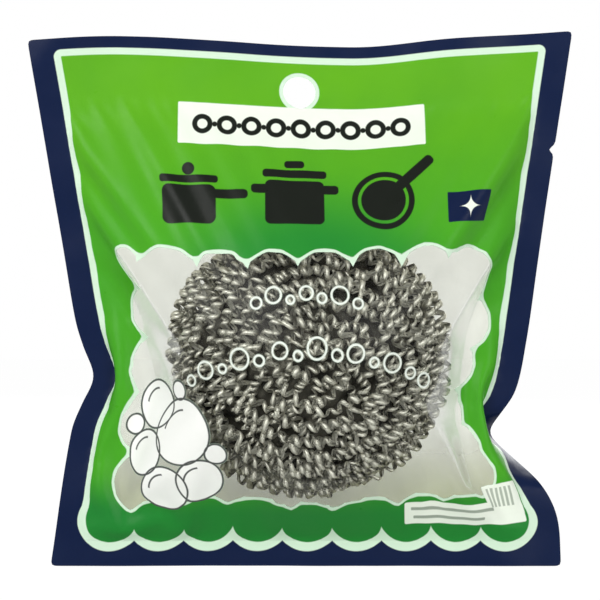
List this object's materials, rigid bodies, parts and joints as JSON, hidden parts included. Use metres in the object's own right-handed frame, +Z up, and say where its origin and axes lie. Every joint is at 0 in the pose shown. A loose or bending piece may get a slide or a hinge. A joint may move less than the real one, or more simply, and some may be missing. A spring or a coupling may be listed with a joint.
{
  "type": "pot scrubber in a hanging pouch",
  "caption": "Round steel-ribbon pot scrubber sealed loose in a film pouch with a scalloped clear window, a tear notch and a round hang hole in its flat header.",
  "frame": {"origin": "middle of the hang hole, on the plane where the two films are welded", "axes": "+Z up as the pouch hangs, +X to the right seen from the front, -Y out of the printed front"},
  "size_m": [0.1702, 0.0652, 0.1671],
  "materials": {
    "printed_film": "smooth printed film, green",
    "back_film": "milky unprinted film",
    "clear_film": "clear glossy film",
    "border_film": "welded printed film, navy",
    "steel_ribbon": "bright curled stainless ribbon",
    "tie_wire": "bright drawn wire"
  },
  "bodies": {
    "pouch": {"front_film": "printed_film", "header_panel": "printed_film", "back_film": "back_film", "clear_window": "clear_film", "top_weld": "border_film", "bottom_weld": "border_film", "left_weld": "border_film", "right_weld": "border_film"},
    "scrubber": {"ribbon_winding": "steel_ribbon", "ribbon_core": "steel_ribbon", "binding_tie": "tie_wire"}
  },
  "joints": [
    {"name": "scrubber_turn", "type": "hinge", "parent": "pouch", "child": "scrubber", "pos_m": [0.0033, 0, -0.084], "axis": [0, 1, 0], "continuous": true}
  ]
}
